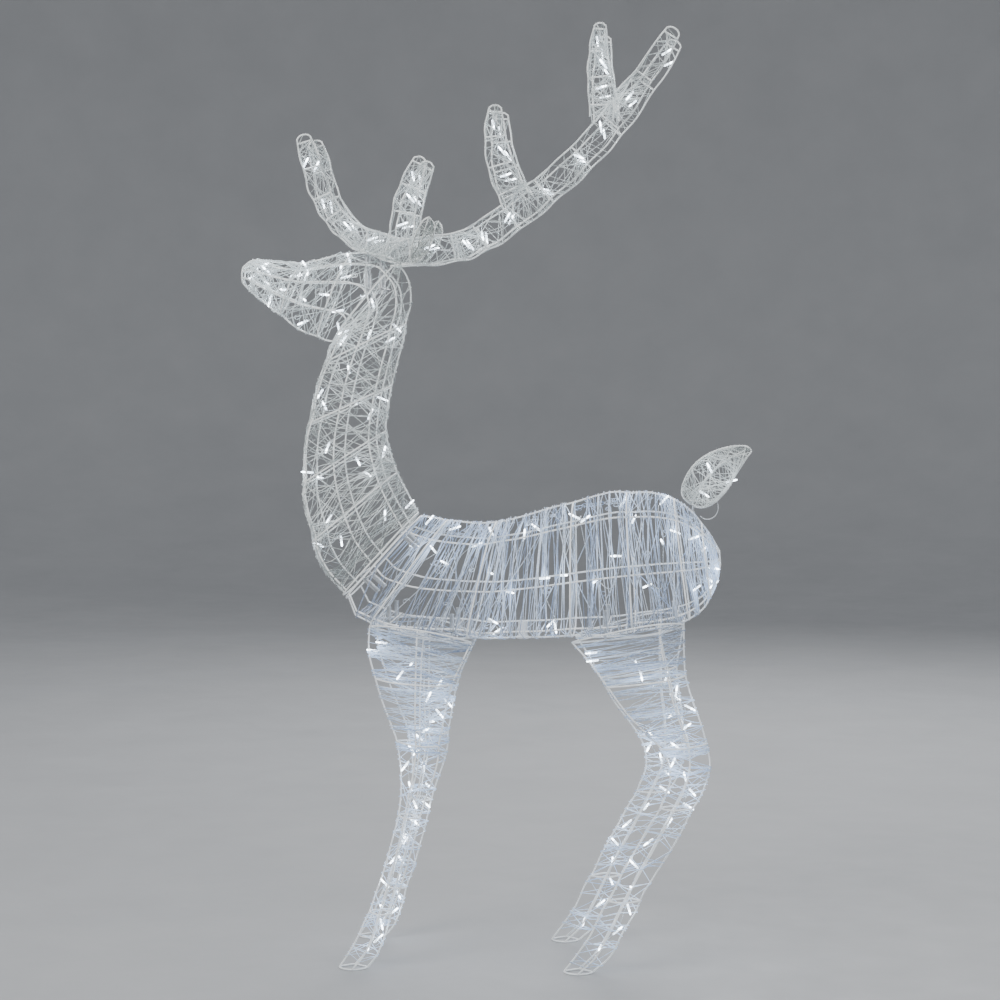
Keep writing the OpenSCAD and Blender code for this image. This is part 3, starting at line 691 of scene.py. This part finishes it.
def build_materials():
    out = {}
    # The wires and threads glow with painted lamp light, more near the lamps and most of them faintly all
    # over; the trunk and legs get more of it than the neck, head, ears, antlers and tail.
    out["wire_body"] = coated_wire("coated_wire_trunk", (0.93, 0.95, 0.95), glow=0.35, base=0.12)
    out["wire_head"] = coated_wire("coated_wire_head", (0.90, 0.93, 0.91), glow=0.25, base=0.08)
    out["thread_body"] = thread("thread_trunk", pale=(0.84, 0.92, 1.0), deep=(0.14, 0.20, 0.36),
                                glow_colour=(0.46, 0.66, 1.0), glow=2.0, base=0.03)
    out["thread_leg"] = thread("thread_leg", pale=(0.84, 0.92, 1.0), deep=(0.16, 0.23, 0.40),
                               glow_colour=(0.48, 0.68, 1.0), glow=2.3, base=0.05)
    out["thread_head"] = thread("thread_head", pale=(0.88, 0.93, 0.91), deep=(0.17, 0.20, 0.20),
                                glow_colour=(0.80, 0.91, 1.0), glow=0.9, base=0.0)

    f = Finish("lamp_holder", Transmission_Weight=0.35, IOR=1.49, Specular_IOR_Level=0.5,
               Emission_Color=(0.78, 0.89, 1, 1), Emission_Strength=2.2)
    f.colour(f.grain(500, 3), (0.35, 0.82, 0.88, 0.92), (0.65, 0.95, 0.98, 1))
    f.roughness(f.grain(900, 3), 0.15, 0.35)
    out["holder"] = f.material

    f = Finish("lamp_lens", IOR=1.5, Roughness=0.08, Emission_Strength=14.0)
    f.colour(f.grain(700, 2), (0.3, 0.9, 0.95, 1), (0.7, 1, 1, 1))
    f.colour(f.grain(350, 2), (0.3, 0.72, 0.86, 1), (0.7, 0.86, 0.94, 1), socket="Emission Color")
    out["lens"] = f.material

    f = Finish("string_lead", Specular_IOR_Level=0.5, IOR=1.45, Transmission_Weight=0.25)
    f.colour(f.grain(160, 4), (0.3, 0.72, 0.78, 0.82), (0.65, 0.92, 0.95, 0.97))
    f.roughness(f.grain(300, 3), 0.2, 0.42)
    out["lead"] = f.material

    f = Finish("zinc_plate", Metallic=1.0)
    f.colour(f.grain(55, 6, 0.7), (0.3, 0.44, 0.46, 0.48), (0.52, 0.66, 0.68, 0.7), (0.72, 0.8, 0.81, 0.82))
    f.roughness(f.grain(130, 4, 0.6, stretch=(1, 1, 9)), 0.24, 0.48)
    f.bump(f.grain(900, 3), 0.1 * MM, 0.3)
    out["steel"] = f.material

    f = Finish("inlet_plastic", Specular_IOR_Level=0.5)
    f.colour(f.grain(90, 4), (0.3, 0.78, 0.8, 0.82), (0.7, 0.9, 0.91, 0.92))
    f.roughness(f.grain(400, 3), 0.38, 0.6)
    f.bump(f.grain(1800, 2), 0.1 * MM, 0.4)
    out["plastic"] = f.material

    f = Finish("contact_brass", Metallic=1.0)
    f.colour(f.grain(300, 4), (0.3, 0.62, 0.47, 0.2), (0.7, 0.86, 0.7, 0.36))
    f.roughness(f.grain(600, 3), 0.2, 0.4)
    out["brass"] = f.material

    f = Finish("floor", Specular_IOR_Level=0.3)
    f.colour(f.grain(3, 6, 0.6), (0.3, 0.37, 0.375, 0.385), (0.7, 0.40, 0.405, 0.415))
    f.roughness(f.grain(9, 5), 0.55, 0.75)
    out["floor"] = f.material
    return out


MAT = build_materials()

# ---- the tail's slack lead: the same points as its CAD solid ----

TAIL_LEAD = np.array([
    [417, 5.5, 891], [423, 6.5, 888], [426, 7.5, 881], [427, 8, 874], [426, 8.5, 867], [423, 9, 860],
    [418, 9, 855], [412, 9, 852], [405, 8.5, 851], [398, 8, 853], [393, 7, 857],
]) * MM
tail_path = smoothed(TAIL_LEAD, 2.5 * MM)
tail_mesh = Mesh()
tail_mesh.tube(tail_path, SLACK_LEAD_R, SLACK_LEAD_SIDES, round_ends=True)
tail_lead = tail_mesh.piece("tail_slack_lead", None, [MAT["lead"]], "string_lead", "tail_loop_lead")
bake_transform(tail_lead)

# ---- lamps, leads and wires ----

LAMP = [  # along the lamp from its lead to its tip, with the radius, in millimetres
    (-12.0, 1.0), (-11.8, 1.5), (-11.0, 1.7), (-10.8, 2.3), (-8.0, 2.45), (-7.8, 2.2), (-7.2, 2.2),
    (-7.0, 2.5), (-2.2, 2.6), (-2.0, 2.55), (-1.8, 2.2), (2.0, 2.2), (2.2, 2.4), (3.0, 2.4),
    (3.2, 2.15), (8.4, 2.1), (9.8, 1.85), (10.9, 1.35), (11.6, 0.75), (11.9, 0.25),
]
LAMP_KINDS = [0] * 11 + [1] * 8  # the holder's bands, then the lens's


def lamps_of(name):
    """Middle and direction of each CAD lamp; its tip is the end that narrows."""
    out = []
    for co in islands(name):
        mean = co.mean(0)
        axis = np.linalg.svd(co - mean, full_matrices=False)[2][0]
        s = (co - mean) @ axis
        middle = mean + axis * (s.min() + s.max()) / 2
        s = (co - middle) @ axis
        r = np.linalg.norm((co - middle) - s[:, None] * axis, axis=1)
        ahead, behind = r[s > s.max() * 0.8], r[s < s.min() * 0.8]
        if ahead.max() > behind.max():
            axis = -axis
        out.append((middle, axis))
    return out


def build_lamps(name, piece):
    found = lamps_of(name)
    m = Mesh()
    for middle, axis in found:
        profile = [(s * MM, r * LAMP_SLIMMER * MM) for s, r in LAMP]
        m.lathe(profile, middle, axis, LAMP_SIDES, LAMP_KINDS)
    m.piece(piece, body_of(name), [MAT["holder"], MAT["lens"]], "lamp", name)
    return found


def build_lead(name, piece):
    """A twisted pair of thin clear wires along the CAD lead."""
    m = Mesh()
    for path, closed in wires_of(name, reach=2.0 * MM, join=2.6 * MM, near=1.6 * MM):
        p = smoothed(path, 3 * MM, closed)
        if len(p) < 4:
            continue
        d = unit(np.gradient(p, axis=0))
        u = carried(d, [0.3, 0.2, 0.9])
        v = np.cross(d, u)
        turn = (lengths(p) / LEAD_TWIST * 2 * math.pi)[:, None]
        off = (np.cos(turn) * u + np.sin(turn) * v) * LEAD_R
        for side in (-1, 1):
            m.tube(p + side * off, LEAD_R, LEAD_SIDES, round_ends=True)
    m.piece(piece, body_of(name), [MAT["lead"]], "string_lead", name)


def build_wires(name, piece, material, lamps, turn_back=TURN_BACK):
    found = wires_of(name, turn_back=turn_back)
    m = Mesh()
    for path, closed in found:
        if closed or length_of(path) >= 5 * MM:
            path = smoothed(path, 6 * MM, closed)
            m.tube(path, WIRE_R, WIRE_SIDES, closed=closed, round_ends=not closed)
    m.piece(piece, body_of(name), [MAT[material]], "coated_wire", name, lamps)
    return found


# ---- thread ----
# low and high are shares of the cage; reaches, spreads, gaps and slips are lengths along it.


def random_start(cage):
    """The wire that a thread starts on, and which way round it goes."""
    return int(rng.integers(cage.count)), int(rng.choice([-1, 1]))


def turned_back(u, low, high):
    """Places that run past an end turn back from it."""
    span = high - low
    return low + span - np.abs((u - low) % (2 * span) - span)


def laid(mesh, cage, low, high, first, step, along, slack):
    """Lays one thread over the wires at distances along the cage, kept between low and high."""
    n = len(along)
    bow = rng.normal(0, slack, n) * (rng.random(n) < 0.5)  # about half of the spans are straight
    radius = THREAD_R * rng.uniform(0.65, 1.25)
    lift = WIRE_R + radius + np.abs(rng.normal(0, FUZZ, n))
    path, refs = cage.strand(first, step, np.clip(along / cage.length, low, high), lift, bow)
    mesh.tube(path, radius, THREAD_SIDES, refs, tone=rng.random())


def wind(mesh, cage, low, high, strands, spread, gap, slip, slant=0.0, slack=1.0 * MM):
    """Bundles of turns nearly square to the cage, a gap apart, each of so many strands. The strands part by
    up to spread and close up again from wire to wire, stray by slip, and lean by slant over their run."""
    x = low * cage.length
    while x < high * cage.length:
        first, step = random_start(cage)
        n = cage.count + 1 + int(rng.integers(0, 4))
        middle = x + rng.normal(0, slant) * (np.arange(n) / n - 0.5) * 2 + rng.normal(0, slip, n)
        wide = spread * rng.uniform(0.1, 1.0, n)
        for _ in range(int(rng.integers(*strands))):
            part = rng.uniform(-1, 1)
            along = middle + part * wide + rng.normal(0, slip * 0.35, n)
            start = (first + int(rng.integers(0, 2))) % cage.count
            laid(mesh, cage, low, high, start, step, along, slack)
        x += rng.uniform(*gap)


def scatter(mesh, cage, low, high, count, reach, steps, slack=2.0 * MM):
    """Threads that run on a slant round the cage and turn back, crossing one another."""
    for _ in range(count):
        first, step = random_start(cage)
        n = int(rng.integers(*steps))
        move = rng.uniform(*reach) * rng.choice([-1, 1]) * np.ones(n)
        move += rng.normal(0, reach[1] * 0.35, n)
        if rng.random() < 0.5:
            move[n // 2:] *= -1
        u = (rng.uniform(low, high) * cage.length + np.cumsum(move)) / cage.length
        laid(mesh, cage, low, high, first, step, turned_back(u, low, high) * cage.length, slack)


def wander(mesh, cage, low, high, count, reach, steps, slack=2.0 * MM):
    """Threads that go round the cage and stray either way at each wire, so that they cross at all angles."""
    for _ in range(count):
        first, step = random_start(cage)
        n = int(rng.integers(*steps))
        along = rng.uniform(low, high) * cage.length + rng.normal(0, reach, n)
        along += rng.normal(0, reach * 0.5) * np.arange(n)
        along = turned_back(along, low * cage.length, high * cage.length)
        laid(mesh, cage, low, high, first, step, along, slack)


def curls(mesh, cage, low, high, panels, count, size):
    """Slack curls of thread on the panels between one wire and the next. size is their least and greatest
    radius."""
    for _ in range(count):
        k = int(rng.choice(panels)) % cage.count
        u = np.array([rng.uniform(low, high)])
        a, b = cage.pick(cage.grid[k], u)[0], cage.pick(cage.grid[(k + 1) % cage.count], u)[0]
        along, across = cage.pick(cage.heading, u)[0], unit(b - a)
        out = unit(np.cross(along, across))
        if np.dot(out, cage.pick(cage.out[k], u)[0]) < 0:
            out = -out
        turns = rng.uniform(1.1, 2.4)
        t = np.linspace(0, 1, int(12 * turns) + 2)[:, None]
        turn = t * turns * 2 * math.pi + rng.uniform(0, 6.3)
        r = rng.uniform(*size) * (0.75 + 0.25 * np.cos(turn * 0.37))  # no two turns alike
        middle = a + (b - a) * rng.uniform(0.3, 0.7) + along * (t - 0.5) * rng.uniform(-1, 1) * size[1]
        path = middle + r * (np.cos(turn) * along + np.sin(turn) * across)
        path += out * (WIRE_R + THREAD_R * (1 + t))
        radius = THREAD_R * rng.uniform(0.6, 0.9)
        mesh.tube(path, radius, THREAD_SIDES, np.tile(out, (len(path), 1)), tone=rng.random())


def flat_threads(mesh, wires, winding, count, reach, run=(4, 9), tries=6, off_face=4.2 * MM):
    """Zigzags across a flat frame, on one face and then the other, from wire to wire. The length of each
    crossing is within reach, and it stays no further than off_face from the winding's CAD node."""
    co, _ = mesh_of(winding)
    normal = np.linalg.svd(co - co.mean(0), full_matrices=False)[2][2]
    cover = surface_of(winding)
    spots = np.concatenate([smoothed(w, 4 * MM, closed) for w, closed in wires if length_of(w) > 20 * MM])
    lift = WIRE_R + THREAD_R

    def inside(a, b):
        for t in (0.2, 0.4, 0.6, 0.8):
            hit = cover.find_nearest(a + (b - a) * t)
            if hit[0] is None or hit[3] > off_face:
                return False
        return True

    def next_spot(here):
        d = np.linalg.norm(spots - here, axis=1)
        near = np.where((d > reach[0]) & (d < reach[1]))[0]
        for _ in range(tries):
            if len(near):
                spot = spots[rng.choice(near)]
                if inside(here, spot):
                    return spot
        return None

    for _ in range(count):
        here = spots[rng.integers(len(spots))]
        side = normal * rng.choice([-1, 1]) * lift
        path = [here + side]
        for _ in range(int(rng.integers(*run))):
            to = next_spot(here)
            if to is None:
                break
            path += [to + side, to + unit(to - here) * lift, to - side]
            side = -side
            here = to
        if len(path) > 2:
            radius = THREAD_R * rng.uniform(0.6, 1.1)
            refs = np.tile(unit(normal + 0.013), (len(path), 1))  # never quite in line with a thread
            mesh.tube(np.array(path), radius, THREAD_SIDES, refs, tone=rng.random())


# What cage_grid's start may be: it is less at the lowest, highest or foremost end of the wires.


def upward(p):
    return p[2]


def downward(p):
    return -p[2]


def backward(p):
    return p[0]


# ---- trunk ----

body_lamps = build_lamps("body_lamps", "trunk_lamps")
wires = build_wires("body_cage", "trunk_wires", "wire_body", body_lamps, TRUNK_TURN_BACK)
build_lead("body_lead", "trunk_lead")
trunk = Cage(cage_grid(wires, CAGE_WIRES, backward))
m = Mesh()
# Bundles all along, looser ones among them, and more of those on the rump.
wind(m, trunk, *THREAD_ENDS, strands=(2, 5), spread=6 * MM, gap=(18 * MM, 38 * MM), slip=4 * MM,
     slant=6 * MM)
wind(m, trunk, *THREAD_ENDS, strands=(1, 3), spread=9 * MM, gap=(24 * MM, 52 * MM), slip=8 * MM,
     slant=20 * MM, slack=2.5 * MM)
wind(m, trunk, 0.60, THREAD_ENDS[1], strands=(1, 3), spread=7 * MM, gap=(30 * MM, 60 * MM), slip=7 * MM,
     slant=16 * MM, slack=2 * MM)
scatter(m, trunk, 0.02, 0.98, count=14, reach=(6 * MM, 38 * MM), steps=(5, 11))
wander(m, trunk, 0.02, 0.98, count=16, reach=14 * MM, steps=(5, 12))
wander(m, trunk, 0.66, 0.985, count=13, reach=30 * MM, steps=(4, 9))
# Curls lie thickest on the panels of the back, to either side of its highest wire.
back = int(trunk.grid[:, trunk.samples // 2, 2].argmax())
curls(m, trunk, 0.03, 0.9, (back - 1, back), count=44, size=(5 * MM, 11 * MM))
curls(m, trunk, 0.03, 0.95, range(trunk.count), count=30, size=(5 * MM, 12 * MM))
m.piece("trunk_thread", "body", [MAT["thread_body"]], "acrylic_thread", "body_winding", body_lamps)

# ---- neck and head ----

neck_lamps = build_lamps("neck_and_head_lamps", "neck_and_head_lamp_set")
wires = build_wires("neck_and_head_cage", "neck_and_head_wires", "wire_head", neck_lamps)
build_lead("neck_and_head_lead", "neck_and_head_string")
neck = Cage(squared_up(cage_grid(wires, CAGE_WIRES, upward), start=0.08, full=0.22, end=0.52, stop=0.66))


def takeover(cage, first, second):
    """Share of a cage where the second winding takes over from the first."""
    first, second = surface_of(first), surface_of(second)
    for i in range(0, cage.samples, 2):
        p = cage.grid[0, i]
        if second.find_nearest(p)[3] < first.find_nearest(p)[3]:
            return i / (cage.samples - 1)
    return 1.0


split = takeover(neck, "neck_winding", "head_winding")
for part, low, high in (("neck", THREAD_ENDS[0], split), ("head", split, THREAD_ENDS[1])):
    m = Mesh()
    share = high - low  # of the threads that the whole neck and head would have
    wind(m, neck, low, high, strands=(1, 3), spread=8 * MM, gap=(60 * MM, 110 * MM), slip=12 * MM,
         slant=30 * MM, slack=4 * MM)
    scatter(m, neck, low, high, int(34 * share), reach=(12 * MM, 48 * MM), steps=(6, 15), slack=5 * MM)
    wander(m, neck, low, high, int(70 * share), reach=27 * MM, steps=(7, 15), slack=5 * MM)
    curls(m, neck, low, high, range(neck.count), int(90 * share), size=(5 * MM, 12 * MM))
    m.piece(f"{part}_thread", "neck_and_head", [MAT["thread_head"]], "acrylic_thread", f"{part}_winding",
            neck_lamps)

for side in ("left", "right"):
    wires = build_wires(f"{side}_ear_frame", f"{side}_ear_wires", "wire_head", neck_lamps)
    m = Mesh()
    flat_threads(m, wires, f"{side}_ear_winding", count=16, reach=(10 * MM, 40 * MM))
    m.piece(f"{side}_ear_thread", "neck_and_head", [MAT["thread_head"]], "acrylic_thread",
            f"{side}_ear_winding", neck_lamps)

# ---- antlers ----

for side in ("left", "right"):
    lamps = build_lamps(f"{side}_antler_lamps", f"{side}_antler_lamp_set")
    wires = build_wires(f"{side}_antler_cage", f"{side}_antler_wires", "wire_head", lamps)
    build_lead(f"{side}_antler_lead", f"{side}_antler_string")
    m = Mesh()
    flat_threads(m, wires, f"{side}_antler_winding", count=105, reach=(24 * MM, 66 * MM))
    m.piece(f"{side}_antler_thread", f"{side}_antler", [MAT["thread_head"]], "acrylic_thread",
            f"{side}_antler_winding", lamps)

# ---- legs ----

for leg in ("front_left_leg", "front_right_leg", "hind_left_leg", "hind_right_leg"):
    lamps = build_lamps(f"{leg}_lamps", f"{leg}_lamp_set")
    wires = build_wires(f"{leg}_cage", f"{leg}_wires", "wire_body", lamps)
    build_lead(f"{leg}_lead", f"{leg}_string")
    cage = Cage(cage_grid(wires, LEG_WIRES, downward))
    m = Mesh()
    # The thigh, the first third of a leg, is wound more closely than the rest of it.
    wind(m, cage, 0.008, 0.36, strands=(2, 5), spread=4 * MM, gap=(20 * MM, 40 * MM), slip=3.5 * MM,
         slant=5 * MM, slack=6 * MM)
    wind(m, cage, 0.34, 0.972, strands=(1, 3), spread=5 * MM, gap=(26 * MM, 50 * MM), slip=5 * MM,
         slant=10 * MM, slack=1.5 * MM)
    scatter(m, cage, 0.01, 0.36, count=5, reach=(10 * MM, 40 * MM), steps=(4, 8), slack=3 * MM)
    wander(m, cage, 0.01, 0.36, count=6, reach=16 * MM, steps=(4, 8), slack=4 * MM)
    scatter(m, cage, 0.3, 0.972, count=14, reach=(8 * MM, 34 * MM), steps=(5, 10), slack=1.5 * MM)
    m.piece(f"{leg}_thread", leg, [MAT["thread_leg"]], "acrylic_thread", f"{leg}_winding", lamps)

# ---- tail ----

lamps = build_lamps("tail_lamps", "tail_lamp_set")
wires = build_wires("tail_frame", "tail_wires", "wire_head", lamps)
m = Mesh()
flat_threads(m, wires, "tail_winding", count=36, reach=(20 * MM, 66 * MM))
m.piece("tail_thread", "tail", [MAT["thread_head"]], "acrylic_thread", "tail_winding", lamps)

# ---- materials of the CAD nodes that stay in view ----

SLOT_MATERIAL = {"plain_steel": "steel", "inlet_housing": "plastic", "contact": "brass"}
for part in frame["record"]["subparts"]:
    o = frame["nodes"].get(part["node"])
    if o is not None and part["material_slot"] in SLOT_MATERIAL and not o.hide_render:
        o.data.materials.clear()
        o.data.materials.append(MAT[SLOT_MATERIAL[part["material_slot"]]])

# ---- floor and light ----

BOWL = [  # radius and height, from the first ring of the flat floor to the top of its raised edge
    (2, 0), (4, 0), (6, 0), (7, 0.05), (8, 0.25), (8.8, 0.65), (9.4, 1.3), (9.8, 2.1), (10, 3), (10, 7),
]
SPOKES = 96


def build_floor():
    """A flat floor that curves up into a wall all round."""
    turns = [2 * math.pi * k / SPOKES for k in range(SPOKES)]
    verts = [(r * math.cos(a), r * math.sin(a), z) for r, z in BOWL for a in turns] + [(0, 0, 0)]
    faces = [(k, (k + 1) % SPOKES, len(verts) - 1) for k in range(SPOKES)]
    for i in range(0, (len(BOWL) - 1) * SPOKES, SPOKES):
        for k in range(SPOKES):
            j = (k + 1) % SPOKES
            faces.append((i + j, i + k, i + SPOKES + k, i + SPOKES + j))
    mesh = bpy.data.meshes.new("floor")
    mesh.from_pydata(verts, [], faces)
    mesh.polygons.foreach_set("use_smooth", [True] * len(faces))
    mesh.materials.append(MAT["floor"])
    floor = bpy.data.objects.new("floor", mesh)
    bpy.context.scene.collection.objects.link(floor)


def softbox(name, place, target, size, power, colour):
    data = bpy.data.lights.new(name, "AREA")
    data.size = size
    data.energy = power
    data.color = colour
    o = bpy.data.objects.new(name, data)
    bpy.context.scene.collection.objects.link(o)
    o.location = place
    o.rotation_euler = (Vector(target) - Vector(place)).to_track_quat("-Z", "Y").to_euler()


build_floor()
middle = (0, 0, cad_box[1][2] / 2)
softbox("key", (-2.6, -3.4, 3.6), middle, size=2.4, power=200, colour=(1.0, 0.99, 0.97))
softbox("fill", (3.4, -2.6, 2.2), middle, size=2.6, power=80, colour=(0.95, 0.98, 1.0))
softbox("back", (0.8, 3.6, 3.4), middle, size=2.4, power=150, colour=(0.96, 0.98, 1.0))

world = bpy.data.worlds.new("studio")
bpy.context.scene.world = world
world.use_nodes = True
background = world.node_tree.nodes["Background"]
background.inputs["Color"].default_value = (0.60, 0.62, 0.65, 1)
background.inputs["Strength"].default_value = 1.0
bpy.context.scene.view_settings.view_transform = "AgX"
